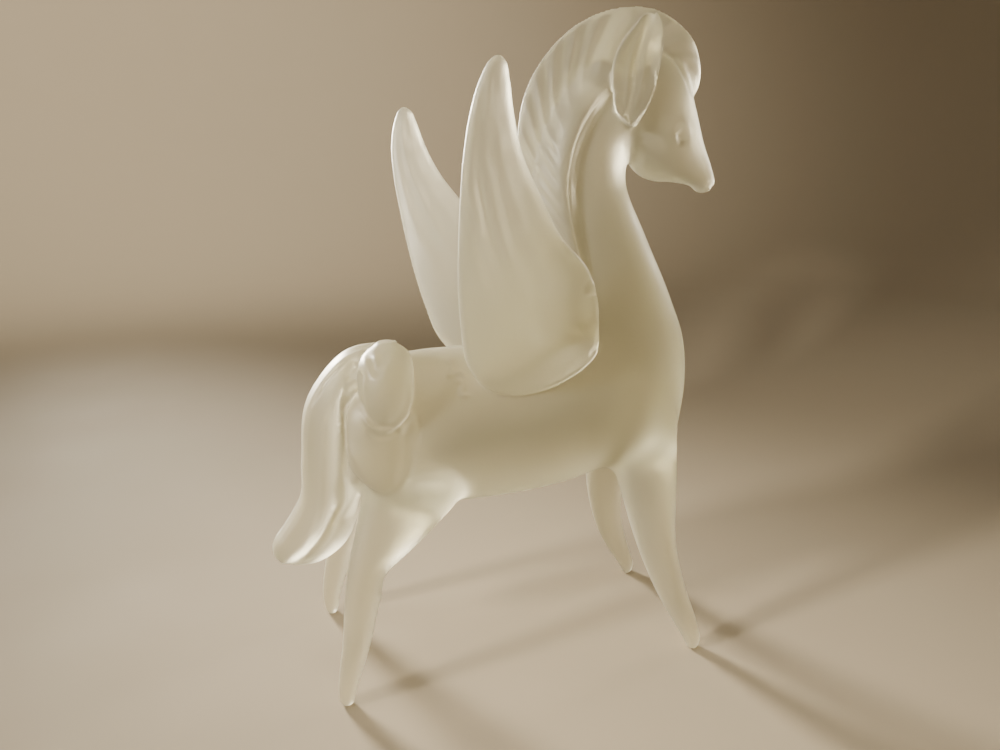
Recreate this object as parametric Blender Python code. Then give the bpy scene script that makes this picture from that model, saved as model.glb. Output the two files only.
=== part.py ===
"""Pegasus figurine of frosted glass: one solid piece, worked hot and standing on its four feet.

Metres, +Z up. The horse faces +X and its right side is towards -Y. The origin is on the
table, below the middle of the figure's own box.

Every form of the figure is a loft: a row of oval sections, each of which spans from one
outline of the form to the other, in the horse's profile. Hot glass runs together where
it touches, so the forms are then united into one solid.
"""

from math import pi

import bmesh
import bpy
import numpy as np
from mathutils import Vector

# The figure is drawn on squared paper, 200 squares to its height, so a square is 1 mm.
HEIGHT = 0.200
SQUARE = HEIGHT / 200

# Sizes in squares.
FOOT_PAD_RADIUS = 1.8  # the flat spot that each foot stands on
MANE_HALF_THICKNESS = 4.0
WING_HALF_THICKNESS = 3.6
EAR_HALF_THICKNESS = 1.9
EDGE_FULLNESS = 0.25  # 0 gives a plate an oval section, 1 would square its edges off
EAR_CUP = 2.4  # how far the middle of an ear lies behind its rims
EAR_SINK = 0.8  # how deep the back of an ear is sunk into the mane

# Pressed flutes: how many there are, and their depth as a share of the thickness there.
MANE_FLUTES = 16
MANE_FLUTE_DEPTH = 0.28
MANE_FLUTE_LEAN = 0.24  # how far a flute's root leans along the mane, as a share of its length
WING_FLUTES = 4
WING_FLUTE_DEPTH = 0.14
TAIL_FLUTES = 2
TAIL_FLUTE_DEPTH = 0.14

# The right wing stands up. The left one is lower, and its tip is swept further back.
LEFT_WING_SWEEP = 13.0
LEFT_WING_DROP = 0.10
WING_FOOT = 90.5
WING_TIP = 182.6

# The left feet stand a little further back, and the left shanks are bowed back.
LEFT_FOOT_SHIFT = -2.2
LEFT_SHANK_BOW = -2.0
LEG_TOP = 72.0  # the legs of the two sides are alike above this height

GLASS_COLOUR = (0.80, 0.79, 0.70, 1.0)

RIGHT = -1
LEFT = 1

# Sections, in squares: x and z on the lower or back outline, x and z on the upper or front
# outline, y of the middle, and half the width across the horse.

# Body and neck are one form: its sections stand upright along the barrel, fan out round
# the withers and lie across the neck up to the poll.
BODY = [
    (-53.0, 81, -53.0, 85, 0, 3.0),
    (-50.5, 70, -50.5, 93, 0, 12.0),
    (-43.0, 61, -43.0, 99.5, 0, 18.0),
    (-26.0, 55, -27.0, 102, 0, 22.0),
    (-4.0, 54, -10.0, 102.4, 0, 23.0),
    (18.0, 56.5, -2.5, 103, 0, 23.0),
    (40.0, 59.5, 0.5, 104.5, 0, 22.5),
    (56.0, 66.0, 2.2, 107, 0, 21.3),
    (60.8, 82, 4.0, 112, 0, 19.3),
    (58.7, 102, 6.2, 120.5, 0, 17.0),
    (53.7, 115, 8.4, 129, 0, 15.0),
    (44.0, 135, 10.8, 144, 0, 12.2),
    (37.5, 150, 13.0, 159.5, 0, 10.4),
    (37.5, 157, 18.8, 172, 0, 9.8),
    (42.0, 164, 31.5, 181, 0, 8.0),
]

HEAD = [
    (29.0, 164, 34.0, 180, 0, 6.5),
    (34.0, 158, 43.0, 189, 0, 9.4),
    (39.5, 153.5, 52.5, 186.0, 0, 9.9),
    (46.0, 151.4, 58.7, 174.0, 0, 8.9),
    (54.0, 150.7, 62.8, 162.5, 0, 6.3),
    (59.3, 149.5, 65.3, 156.2, 0, 4.6),
    (62.0, 147.7, 66.6, 152.6, 0, 3.9),
    (64.2, 147.6, 67.1, 150.6, 0, 3.0),
    (65.6, 148.4, 66.9, 149.6, 0, 1.4),
]

# A leg runs from inside the body down to the table.
HIND_LEG = [
    (-46.0, 84, -17.0, 78, 11.0, 10.0),
    (-46.5, 70, -17.5, 61.5, 14.2, 9.4),
    (-48.6, 59, -26.5, 52.6, 17.0, 7.6),
    (-51.0, 50.5, -36.0, 45.0, 19.0, 6.2),
    (-52.6, 45, -41.6, 40.6, 20.1, 5.5),
    (-54.2, 36, -43.7, 33.5, 21.3, 5.0),
    (-56.0, 20, -48.0, 18, 23.4, 4.0),
    (-58.0, 7, -52.2, 6, 24.7, 3.1),
    (-58.2, 2.8, -53.2, 2.4, 25.0, 2.6),
]

FORE_LEG = [
    (31.0, 89, 51.0, 89, 8.5, 9.0),
    (29.5, 80, 54.6, 81, 10.3, 9.6),
    (28.5, 71, 56.0, 72, 11.9, 9.8),
    (34.0, 52, 52.6, 54, 16.6, 7.1),
    (39.0, 38, 51.8, 40.5, 19.5, 5.6),
    (46.0, 20.5, 54.9, 24, 22.3, 4.2),
    (53.4, 6.8, 59.8, 9.2, 24.3, 3.1),
    (55.8, 2.6, 61.2, 3.6, 24.9, 2.7),
]

# A wing rises from a round lobe on the flank. Its back outline is its trailing edge.
WING = [
    (-5.0, 92.2, 2.0, 92.1, 17.0, 0.5),
    (-12.5, 96.6, 13.0, 96.0, 18.0, 1.2),
    (-17.0, 104.5, 22.4, 103.8, 19.6, 1.5),
    (-18.4, 113, 22.2, 111.5, 21.5, 1.25),
    (-19.5, 123, 20.8, 120.5, 23.8, 1.05),
    (-19.9, 131, 16.4, 130, 25.8, 1.0),
    (-20.0, 139, 8.3, 138.5, 28.0, 0.9),
    (-19.9, 150, 1.2, 150, 30.7, 0.82),
    (-19.4, 160, -4.4, 160.5, 33.0, 0.74),
    (-18.0, 170, -7.3, 170.5, 35.0, 0.68),
    (-15.6, 177.7, -8.6, 178, 35.8, 0.62),
    (-13.4, 181.6, -9.7, 181.6, 36.3, 0.45),
    (-12.2, 182.6, -10.8, 182.6, 36.4, 0.25),
]

# The mane fans out from the crest of the neck, over the poll and down to the forehead.
# Its sections lie along the flutes.
MANE = [
    (25.0, 115.5, 20.5, 121, 0, 0.4),
    (24.5, 130, 9.0, 142.5, 0, 1.0),
    (23.5, 142.5, 3.3, 164, 0, 1.0),
    (23.5, 152.5, 6.5, 179, 0, 1.0),
    (25.5, 162, 18.5, 193.5, 0, 1.0),
    (33.0, 169, 33.5, 199.6, 0, 1.0),
    (42.0, 174, 47.5, 198.4, 0, 0.9),
    (48.0, 176, 57.5, 190.5, 0, 0.8),
    (52.0, 172.5, 59.8, 179.5, 0, 0.55),
    (55.0, 171.5, 58.0, 176, 0, 0.3),
]

# On each side of the neck the root of the mane is folded into a smooth roll.
MANE_FOLD = [
    (16.0, 113, 26.0, 115.5, 9.0, 6.0),
    (12.0, 124, 23.0, 125.5, 6.5, 9.0),
    (8.0, 142, 18.8, 142.3, 4.4, 8.8),
    (8.3, 157.5, 18.4, 154.7, 3.6, 8.2),
    (15.6, 176, 23.6, 168.2, 3.2, 7.4),
    (26.2, 185.4, 31.6, 176, 2.8, 5.8),
    (33.0, 183.5, 37.0, 174.5, 2.8, 5.6),
]

# An ear's y is where the mane's face lies behind it, in place of y of the middle.
EAR = [
    (33.2, 169.2, 34.7, 168.4, 6.1, 0.6),
    (28.6, 171.8, 36.8, 171.6, 6.1, 0.9),
    (26.2, 176.5, 39.6, 176.5, 6.5, 1.0),
    (26.2, 183.5, 41.6, 183.5, 7.4, 1.0),
    (29.0, 188.5, 42.0, 188.5, 7.9, 0.95),
    (33.0, 193.3, 41.7, 193.3, 8.5, 0.85),
    (36.2, 196.3, 40.6, 196.1, 9.3, 0.6),
    (37.9, 197.4, 39.3, 197.3, 9.8, 0.35),
]

# The tail starts as a folded lump on the rump, is thrown over it and drawn out in strands.
TAIL_CURL = [
    (-40.5, 108.6, -36.0, 108.8, 11.0, 2.5),
    (-45.3, 104.5, -31.8, 105.5, 12.5, 7.5),
    (-46.8, 96.5, -31.2, 96.5, 14.0, 9.3),
    (-45.5, 89, -33.5, 88.5, 15.0, 7.6),
    (-40.8, 83.8, -38.0, 83.8, 15.5, 2.0),
]

TAIL_LOBE = [
    (-41.0, 98, -38.0, 97.5, 9.0, 1.5),
    (-49.0, 92, -33.0, 91, 12.6, 6.0),
    (-51.0, 81, -31.0, 81, 15.0, 7.6),
    (-50.0, 72, -33.0, 71, 17.2, 6.6),
    (-45.5, 66.0, -36.5, 65.0, 18.4, 4.6),
    (-42.5, 63.8, -40.0, 63.3, 18.8, 2.0),
]

TAIL_BACK_STRAND = [
    (-34.0, 107, -36.5, 97, -4.0, 5.0),
    (-49.5, 104.3, -46.5, 91, -3.0, 7.5),
    (-60.8, 91, -50.3, 84, -1.5, 8.0),
    (-64.2, 71, -51.8, 70, -0.5, 7.7),
    (-65.8, 57.5, -54.0, 54, 0.0, 7.2),
    (-71.6, 48, -57.6, 44.5, 0.0, 6.6),
    (-74.4, 44.2, -62.5, 40.2, 0.0, 6.0),
    (-75.0, 41.6, -66.6, 37.8, 0.0, 5.0),
    (-74.5, 39.5, -69.8, 36.8, 0.0, 3.6),
    (-73.6, 38.2, -71.8, 37.0, 0.0, 1.8),
]

TAIL_FRONT_STRAND = [
    (-42.0, 95, -34.0, 91, 0.0, 5.0),
    (-53.5, 84, -45.0, 81, -0.6, 7.0),
    (-56.0, 64, -47.2, 62.5, -0.8, 7.2),
    (-58.5, 52, -48.0, 51.0, -0.6, 6.8),
    (-62.5, 43, -53.2, 41.5, -0.4, 6.0),
    (-68.0, 39.5, -61.0, 36.3, 0.0, 4.6),
    (-71.0, 38.4, -68.0, 35.5, 0.0, 2.6),
]


def on_side(rows, side, half_thickness=1.0):
    """The sections of a form moved to one side of the horse, with their real thickness."""
    rows = np.array(rows, float)
    rows[:, 4] *= side
    rows[:, 5] *= half_thickness
    return rows


def leg_rows(rows, side, shift, bow):
    """One leg, its foot shifted and its shank bowed along x."""
    rows = on_side(rows, side)
    for x, z in ((0, 1), (2, 3)):
        below = np.clip(1 - rows[:, z] / LEG_TOP, 0, 1)
        rows[:, x] += shift * below + bow * np.sin(pi * below**2)
    return rows


def wing_rows(side, sweep, drop):
    """One wing, its tip swept back, and lower by the share drop of its own height."""
    rows = on_side(WING, side, WING_HALF_THICKNESS)
    for x, z in ((0, 1), (2, 3)):
        up = rows[:, z] - WING_FOOT
        rows[:, x] -= sweep * up / (WING_TIP - WING_FOOT)
        rows[:, z] = WING_FOOT + up * (1 - drop)
    return rows


def ear_rows(side):
    """One ear. Its back is sunk into the mane, and its cup and thickness build outwards."""
    rows = on_side(EAR, LEFT, EAR_HALF_THICKNESS)
    rows[:, 4] = side * (rows[:, 4] - EAR_SINK + EAR_CUP + rows[:, 5])
    return rows


def smoothed(rows, count):
    """A smooth curve through the sections, read at count places evenly spaced along it."""
    rows = np.asarray(rows, float)
    steps = np.linalg.norm(np.diff(rows[:, :5], axis=0), axis=1)
    at = np.concatenate([[0.0], np.cumsum(steps)])
    slope = np.gradient(rows, at, axis=0)
    wanted = np.linspace(0.0, at[-1], count)
    i = np.clip(np.searchsorted(at, wanted, side="right") - 1, 0, len(at) - 2)
    span = (at[i + 1] - at[i])[:, None]
    t = (wanted - at[i])[:, None] / span
    start = (2 * t**3 - 3 * t**2 + 1) * rows[i] + (t**3 - 2 * t**2 + t) * span * slope[i]
    end = (3 * t**2 - 2 * t**3) * rows[i + 1] + (t**3 - t**2) * span * slope[i + 1]
    return start + end


def round_turns(sides):
    """Angles of a section's corners, evenly spaced round the oval."""
    return np.linspace(0.0, 2 * pi, sides, endpoint=False)


def plate_turns(steps):
    """Angles of a section's corners, evenly spaced across a plate, on both of its faces."""
    one_face = np.arccos(1 - 2 * np.linspace(0.0, 1.0, steps + 1))
    return np.concatenate([one_face, 2 * pi - one_face[-2:0:-1]])


def full_edges(turn):
    """A factor that fills an oval out towards a plate with round edges."""
    return np.maximum(np.abs(np.sin(turn)), 1e-6) ** -EDGE_FULLNESS


def plain(along, turn):
    """No flutes and no hollow: a factor of 1 on the half width, and no push across."""
    return np.ones_like(turn), np.zeros_like(turn)


def mane_flutes(along, turn):
    """Waves along the mane, on a blade that thins to its edge.

    The flutes lean, and fade towards the root, where the blade runs into neck and head.
    """
    out = (1 + np.cos(turn)) / 2
    wave = np.cos(2 * pi * MANE_FLUTES * (along + MANE_FLUTE_LEAN * (1 - out)))
    fade = np.clip(2 * out - 0.5, 0, 1)
    return (1.4 - 0.7 * out) * (1 + MANE_FLUTE_DEPTH * fade * wave), np.zeros_like(turn)


def fold_skew(along, turn):
    """A roll that rises gently from the mane and drops steeply to the neck."""
    return 0.45 + 0.4 * (1 + np.cos(turn)), np.zeros_like(turn)


def wing_flutes(along, turn):
    """Waves across the wing, each flute from tip to root, fading to the lobe and forward."""
    forward = (1 + np.cos(turn)) / 2
    wave = np.cos(2 * pi * WING_FLUTES * forward)
    fade = np.clip((along - 0.2) / 0.3, 0, 1) * (1 - 0.6 * forward)
    return (1 + WING_FLUTE_DEPTH * fade * wave) * full_edges(turn), np.zeros_like(turn)


def tail_flutes(along, turn):
    """Waves across a strand of the tail, each flute lengthwise, fading out on the rump."""
    forward = (1 + np.cos(turn)) / 2
    wave = np.cos(2 * pi * TAIL_FLUTES * forward)
    fade = np.clip(along / 0.2, 0, 1)
    return (1 + TAIL_FLUTE_DEPTH * fade * wave) * full_edges(turn), np.zeros_like(turn)


def ear_cup(side):
    """An ear is hollow towards its own side."""

    def relief(along, turn):
        return np.ones_like(turn), -side * EAR_CUP * np.sin(turn) ** 2

    return relief


def add_form(name, rows, rings, turn, relief=plain, foot_pad=None):
    """A closed loft through smoothed sections, ending on the table if it has a foot pad."""
    mesh = bmesh.new()
    loops = []
    for k, (x0, z0, x1, z1, y, half_width) in enumerate(smoothed(rows, rings)):
        factor, push = relief(k / (rings - 1), turn)
        share = (1 + np.cos(turn)) / 2
        x = x0 + (x1 - x0) * share
        z = z0 + (z1 - z0) * share
        across = y + push + half_width * factor * np.sin(turn)
        loops.append(np.stack([x, across, z], axis=1))
    if foot_pad:
        x, y = (rows[-1][0] + rows[-1][2]) / 2, rows[-1][4]
        x, y = x + foot_pad * np.cos(turn), y + foot_pad * np.sin(turn)
        loops.append(np.stack([x, y, np.zeros_like(turn)], axis=1))
    loops = [[mesh.verts.new(corner) for corner in loop * SQUARE] for loop in loops]
    for here, there in zip(loops, loops[1:]):
        for i in range(len(turn)):
            mesh.faces.new((here[i - 1], here[i], there[i], there[i - 1]))
    mesh.faces.new(loops[0])
    mesh.faces.new(loops[-1])
    bmesh.ops.recalc_face_normals(mesh, faces=mesh.faces)
    data = bpy.data.meshes.new(name)
    mesh.to_mesh(data)
    mesh.free()
    data.shade_smooth()
    form = bpy.data.objects.new(name, data)
    bpy.context.scene.collection.objects.link(form)
    return form


def add_legs(side, name):
    shift, bow = (LEFT_FOOT_SHIFT, LEFT_SHANK_BOW) if side == LEFT else (0.0, 0.0)
    forms = []
    for leg, rows in ((" hind leg", HIND_LEG), (" fore leg", FORE_LEG)):
        rows = leg_rows(rows, side, shift, bow)
        forms.append(add_form(name + leg, rows, 15, round_turns(14), foot_pad=FOOT_PAD_RADIUS))
    return forms


def add_wing(side, name):
    sweep, drop = (LEFT_WING_SWEEP, LEFT_WING_DROP) if side == LEFT else (0.0, 0.0)
    turn = plate_turns(4 * WING_FLUTES)
    return [add_form(name + " wing", wing_rows(side, sweep, drop), 20, turn, wing_flutes)]


def add_ear(side, name):
    return [add_form(name + " ear", ear_rows(side), 9, plate_turns(7), ear_cup(side))]


def add_mane():
    turn = plate_turns(6)
    rows = on_side(MANE, RIGHT, MANE_HALF_THICKNESS)
    forms = [add_form("mane", rows, 4 * MANE_FLUTES + 1, turn, mane_flutes)]
    for side, name in ((RIGHT, "right"), (LEFT, "left")):
        rows = on_side(MANE_FOLD, side)
        forms.append(add_form(name + " mane fold", rows, 14, round_turns(12), fold_skew))
    return forms


def add_tail():
    return [
        add_form("tail back strand", TAIL_BACK_STRAND, 20, plate_turns(4 * TAIL_FLUTES), tail_flutes),
        add_form("tail front strand", TAIL_FRONT_STRAND, 16, round_turns(12)),
        add_form("tail curl", on_side(TAIL_CURL, RIGHT), 10, round_turns(14)),
        add_form("right tail lobe", on_side(TAIL_LOBE, RIGHT), 10, round_turns(12)),
        add_form("left tail lobe", on_side(TAIL_LOBE, LEFT), 10, round_turns(12)),
    ]


def unite(whole, others):
    """One solid of glass: each other form is fused to the first and hidden."""
    for other in others:
        fuse = whole.modifiers.new("fuse " + other.name, "BOOLEAN")
        fuse.operation = "UNION"
        fuse.solver = "EXACT"
        fuse.object = other
        other.hide_render = True
        other.display_type = "WIRE"


def stand_on_origin(whole, others):
    """Puts the origin on the table, below the middle of the figure's own box."""
    bpy.context.view_layer.update()
    evaluated = whole.evaluated_get(bpy.context.evaluated_depsgraph_get())
    corners = np.array([Vector(corner) for corner in evaluated.bound_box])
    low, high = corners.min(axis=0), corners.max(axis=0)
    offset = Vector((-(low[0] + high[0]) / 2, -(low[1] + high[1]) / 2, -low[2]))
    for form in [whole] + others:
        form.location = offset


def frosted_glass():
    glass = bpy.data.materials.new("frosted_glass")
    glass.use_nodes = True
    shader = glass.node_tree.nodes["Principled BSDF"]
    shader.inputs["Base Color"].default_value = GLASS_COLOUR
    shader.inputs["Roughness"].default_value = 0.5
    shader.inputs["Metallic"].default_value = 0.0
    shader.inputs["Transmission Weight"].default_value = 1.0
    return glass


def build():
    for old in list(bpy.data.objects):
        bpy.data.objects.remove(old)
    pegasus = add_form("pegasus", BODY, 28, round_turns(24))
    fused = [add_form("head", HEAD, 14, round_turns(18))] + add_mane() + add_tail()
    for side, name in ((RIGHT, "right"), (LEFT, "left")):
        fused += add_legs(side, name) + add_wing(side, name) + add_ear(side, name)
    unite(pegasus, fused)
    stand_on_origin(pegasus, fused)
    pegasus.data.materials.append(frosted_glass())


build()
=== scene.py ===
# %% [markdown]
# # A pegasus of frosted glass
#
# The real figurine is one lump of glass. Its forms were drawn out with pincers, some from
# the hot body and some from fresh blobs laid on it, so every form is a smooth taper that
# runs into the next without a joint. The whole figure is matt, as glass is after etching.
#
# The lesson follows the glass worker. Each form is a loft, worked out as one numpy array.
# The forms are melted together on a fine grid of voxels, the creases are filled the way
# hot glass fills them, and the marks of the tools are pressed into the skin. The matt
# surface is then a matter of roughness, and the tint one of absorption inside the glass.

from math import pi, radians

import bpy
import numpy as np
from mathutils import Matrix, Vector


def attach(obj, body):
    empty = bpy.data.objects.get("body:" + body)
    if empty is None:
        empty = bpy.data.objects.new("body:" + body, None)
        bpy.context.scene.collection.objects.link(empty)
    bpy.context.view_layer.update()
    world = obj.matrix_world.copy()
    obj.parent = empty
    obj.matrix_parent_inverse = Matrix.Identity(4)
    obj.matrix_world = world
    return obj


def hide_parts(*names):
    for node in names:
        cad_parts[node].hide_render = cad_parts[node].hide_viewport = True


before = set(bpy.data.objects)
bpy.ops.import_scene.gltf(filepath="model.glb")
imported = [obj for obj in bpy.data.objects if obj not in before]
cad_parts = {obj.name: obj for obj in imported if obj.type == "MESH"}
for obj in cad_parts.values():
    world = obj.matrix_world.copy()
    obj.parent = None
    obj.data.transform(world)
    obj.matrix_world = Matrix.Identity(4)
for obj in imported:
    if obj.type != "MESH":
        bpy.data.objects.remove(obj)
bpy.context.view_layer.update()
print("solid model:", list(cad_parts))

# %% [markdown]
# ## The drawing
#
# The figure is drawn on squared paper, 200 squares to its height, so one square is one
# millimetre. The paper's x runs towards the horse's nose, y to its left and z up. Its
# origin lies between the four feet, and the model's origin lies below the middle of its
# own box, so every point is moved 4.05 squares forward on its way into the model.
#
# Each form is a list of sections: a section spans from one outline of the form to the
# other. Most are the solid model's own sections. A few were drawn anew or added after a
# closer look at the photograph, and they stay inside the solid's box.

# %% Squares and sides
SQUARE = 0.001
PAPER_ORIGIN = np.array([4.05, 0.0, 0.0])
RIGHT, BOTH, LEFT = -1, 0, 1

# %% [markdown]
# ## Smooth curves
#
# A drawn-out blob of glass never shows the places where the pincers gripped it, so the
# sections must be joined without a kink. A Bezier curve in Blender would do it for one
# outline at a time. A Hermite curve worked out with numpy takes all the numbers of
# a section along at once, and it passes exactly through what was drawn.


# %% Smooth curves through the sections
def smoothed(rows, count):
    """Cubic Hermite curve through the rows: each slope is a weighted mean of two chords.
    The curve is read at evenly spaced places, as measured along its outlines and middle."""
    rows = np.asarray(rows, float)
    steps = np.linalg.norm(np.diff(rows[:, :5], axis=0), axis=1)
    at = np.concatenate([[0.0], np.cumsum(steps)])
    slope = np.gradient(rows, at, axis=0)
    wanted = np.linspace(0.0, at[-1], count)
    i = np.clip(np.searchsorted(at, wanted, side="right") - 1, 0, len(at) - 2)
    span = (at[i + 1] - at[i])[:, None]
    t = (wanted - at[i])[:, None] / span
    start = (2 * t**3 - 3 * t**2 + 1) * rows[i] + (t**3 - 2 * t**2 + t) * span * slope[i]
    end = (3 * t**2 - 2 * t**3) * rows[i + 1] + (t**3 - t**2) * span * slope[i + 1]
    return start + end


print("a curve through three corners:", smoothed([(0, 0), (1, 1), (2, 0)], 5).round(2).tolist())

# %% [markdown]
# ## Lofts
#
# A loft stretches a skin over the sections. Rings of edges could be bridged by hand, one
# form at a time. A grid of points does the whole form at once: rows run along the form,
# columns run round it, and the formula for a point is the same everywhere on the grid.
# A round form has oval sections. A flat one, such as a wing or an ear, is a plate, so its
# points are spread evenly across the plate instead of evenly round it.

# %% Angles round a section
EDGE_FULLNESS = 0.25


def round_turns(sides):
    """Angles evenly spaced round the oval."""
    return np.linspace(0.0, 2 * pi, sides, endpoint=False)


def plate_turns(steps):
    """Angles whose points lie evenly spaced across a plate, on both of its faces."""
    one_face = np.arccos(1 - 2 * np.linspace(0.0, 1.0, steps + 1))
    return np.concatenate([one_face, 2 * pi - one_face[-2:0:-1]])


def full_edges(turn):
    """Fills an oval out towards a plate with round edges: |sin| to a negative power."""
    return np.maximum(np.abs(np.sin(turn)), 1e-6) ** -EDGE_FULLNESS


print("points round a plate of 36 steps:", len(plate_turns(36)))


# %% A loft through sections
def plain(along, turn):
    """No relief: a factor of 1 on the half width, and no push across."""
    return np.ones_like(along * turn), np.zeros_like(along * turn)


def loft(rows, rings, turn, relief=plain, foot_pad=None):
    """Grid of points: share = (1 + cos turn) / 2 runs from one outline to the other,
    y = middle + push + half width * factor * sin turn. A foot ends in a flat round pad."""
    rows = smoothed(rows, rings)
    x0, z0, x1, z1, y, half_width = rows.T[:, :, None]
    factor, push = relief(np.linspace(0, 1, rings)[:, None], turn[None, :])
    share = (1 + np.cos(turn)) / 2
    grid = np.stack(
        [
            x0 + (x1 - x0) * share,
            y + push + half_width * factor * np.sin(turn),
            z0 + (z1 - z0) * share,
        ],
        axis=2,
    )
    if foot_pad:
        middle = np.array([(rows[-1, 0] + rows[-1, 2]) / 2, rows[-1, 4], 0.0])
        rim = np.stack([np.cos(turn), np.sin(turn), 0 * turn], axis=1)
        grid = np.concatenate([grid, (middle + foot_pad * rim)[None]])
    return grid


def on_side(rows, side, half_thickness=1.0):
    """Sections on one side of the horse: y * side, and half width * half thickness."""
    return np.array(rows, float) * [1, 1, 1, 1, side, half_thickness]


taper = loft([(-5, 0, 5, 0, 0, 5), (-2, 40, 2, 40, 0, 2)], rings=10, turn=round_turns(24))
print("a taper of 10 rings with 24 sides:", taper.shape)

# %% [markdown]
# ## Melting forms together
#
# A Boolean union would leave a knife-sharp crease where two forms cross. Hot glass
# doesn't: surface tension draws it into every crease until the crease is a soft hollow.
# So the closed lofts go into one mesh, and Blender's voxel remesh wraps that mesh in
# a single skin, whichever way its faces point. A flow then moves each point outwards
# wherever the skin is hollow. Places that bulge, such as the thin shanks, keep their
# shape. Last, the small steps that the voxels leave are softened.


# %% Closed shells, and one skin round all of them
def bands(index):
    """Faces between each ring of a grid of point numbers and the next ring."""
    here, there = index[:-1], index[1:]
    quads = np.stack([np.roll(here, 1, 1), here, there, np.roll(there, 1, 1)], axis=2)
    return quads.reshape(-1, 4).tolist()


def closed_shells(grids, first=0):
    """Points and faces of the grids: bands between the rings, and a cap at either end."""
    points, faces = [], []
    for grid in grids:
        rings, sides = grid.shape[:2]
        index = first + np.arange(rings * sides).reshape(rings, sides)
        faces += bands(index) + [index[0].tolist(), index[-1].tolist()]
        points.append(grid.reshape(-1, 3))
        first += rings * sides
    return np.concatenate(points), faces


def remeshed(name, points, faces, voxel):
    """A mesh of the faces, then Blender's voxel remesh applied to it."""
    mesh = bpy.data.meshes.new(name)
    mesh.from_pydata(points.tolist(), [], faces)
    shape = bpy.data.objects.new(name, mesh)
    bpy.context.scene.collection.objects.link(shape)
    wrap = shape.modifiers.new("wrap", "REMESH")
    wrap.mode = "VOXEL"
    wrap.voxel_size = voxel
    evaluated = shape.evaluated_get(bpy.context.evaluated_depsgraph_get())
    result = bpy.data.meshes.new_from_object(evaluated)
    bpy.data.objects.remove(shape)
    bpy.data.meshes.remove(mesh)
    return result


taper_points, taper_faces = closed_shells([taper])
print("the taper as a closed shell:", len(taper_points), "points,", len(taper_faces), "faces")


# %% Reading and moving all the points of a mesh at once
def arrays(mesh):
    """Points, normals and edges of a mesh as numpy arrays."""
    points = np.empty((len(mesh.vertices), 3))
    mesh.vertices.foreach_get("co", points.ravel())
    normals = np.empty((len(mesh.vertices), 3))
    mesh.vertices.foreach_get("normal", normals.ravel())
    edges = np.empty((len(mesh.edges), 2), int)
    mesh.edges.foreach_get("vertices", edges.ravel())
    return points, normals, edges


def neighbours_mean(values, edges):
    """Mean of each point's neighbours along the edges."""
    a, b = edges.T
    count = np.bincount(a, minlength=len(values)) + np.bincount(b, minlength=len(values))
    total = [
        np.bincount(a, v[b], len(values)) + np.bincount(b, v[a], len(values))
        for v in values.T
    ]
    return np.stack(total, axis=1) / count[:, None]


def put_back(mesh, points):
    """Moved points go into the mesh, which works out its normals again."""
    mesh.vertices.foreach_set("co", points.ravel())
    mesh.update()


chain_values, chain_edges = np.array([[0.0], [1.0], [5.0]]), np.array([(0, 1), (1, 2)])
print("neighbours' means on a chain:", neighbours_mean(chain_values, chain_edges).ravel())

# %% The flow of hot glass, and a softening
STIFFNESS = 0.88
STIFF_FADE = 12


def fill_creases(mesh, rounds, stiff_above=1000.0):
    """Step = mean of neighbours - point. Its part along the normal counts only outwards.
    Over 12 squares above a height, the glass grows stiff and takes less of each step."""
    for _ in range(rounds):
        points, normals, edges = arrays(mesh)
        step = neighbours_mean(points, edges) - points
        step *= 1 - STIFFNESS * np.clip((points[:, 2:] - stiff_above) / STIFF_FADE, 0, 1)
        out = (step * normals).sum(axis=1, keepdims=True)
        put_back(mesh, points + step - np.minimum(out, 0) * normals)


def soften(mesh, rounds):
    """Evens out voxel steps: a step to the mean, then a slightly longer one back."""
    for _ in range(rounds):
        points, _, edges = arrays(mesh)
        for share in (0.5, -0.53):
            points = points + share * (neighbours_mean(points, edges) - points)
        put_back(mesh, points)


print("share of each step that stiff glass takes:", round(1 - STIFFNESS, 2))

# %% [markdown]
# ## Body, neck and head
#
# The body is the first lump of glass on the rod. Its breast was pulled up into the neck,
# so one loft takes in both, and its sections turn from upright in the barrel to nearly
# level in the neck. The head is a second form, from the poll to the muzzle. It could be
# a bulge at the end of the neck, but a loft of its own gives the sharp turn at the throat.
# A section holds x and z on the lower or back outline, x and z on the other outline, the
# y of its middle, and its half width.

# %% Sections of the body with its neck, and of the head
BODY = [
    (-53.0, 81, -53.0, 85, 0, 3.0),
    (-50.5, 70, -50.5, 93, 0, 12.0),
    (-43.0, 61, -43.0, 99.5, 0, 18.0),
    (-26.0, 55, -27.0, 102, 0, 22.0),
    (-4.0, 54, -10.0, 102.4, 0, 23.0),
    (18.0, 56.5, -2.5, 103, 0, 23.0),
    (40.0, 62.5, 0.5, 104.5, 0, 22.5),
    (55.5, 66.0, 2.2, 107, 0, 21.3),
    (59.7, 80.5, 4.0, 112, 0, 19.3),
    (58.7, 102, 6.2, 120.5, 0, 17.0),
    (53.7, 115, 8.4, 129, 0, 15.0),
    (44.0, 135, 10.8, 144, 0, 12.2),
    (36.9, 150, 13.0, 159.5, 0, 10.4),
    (36.8, 157, 18.8, 172, 0, 9.8),
    (41.0, 165, 31.5, 181, 0, 8.0),
]
HEAD = [
    (29.0, 164, 34.0, 180, 0, 6.5),
    (36.0, 160, 43.0, 189, 0, 9.4),
    (40.3, 154.2, 52.5, 186.0, 0, 9.9),
    (46.0, 151.4, 57.6, 174.0, 0, 8.9),
    (54.0, 150.7, 61.8, 162.5, 0, 6.3),
    (59.3, 149.5, 64.8, 156.2, 0, 4.6),
    (61.8, 147.7, 66.2, 152.6, 0, 3.9),
    (63.8, 147.6, 66.6, 150.6, 0, 3.0),
    (65.1, 148.4, 66.4, 149.6, 0, 1.4),
]
body = loft(BODY, rings=120, turn=round_turns(96))
head = loft(HEAD, rings=70, turn=round_turns(64))
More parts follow.
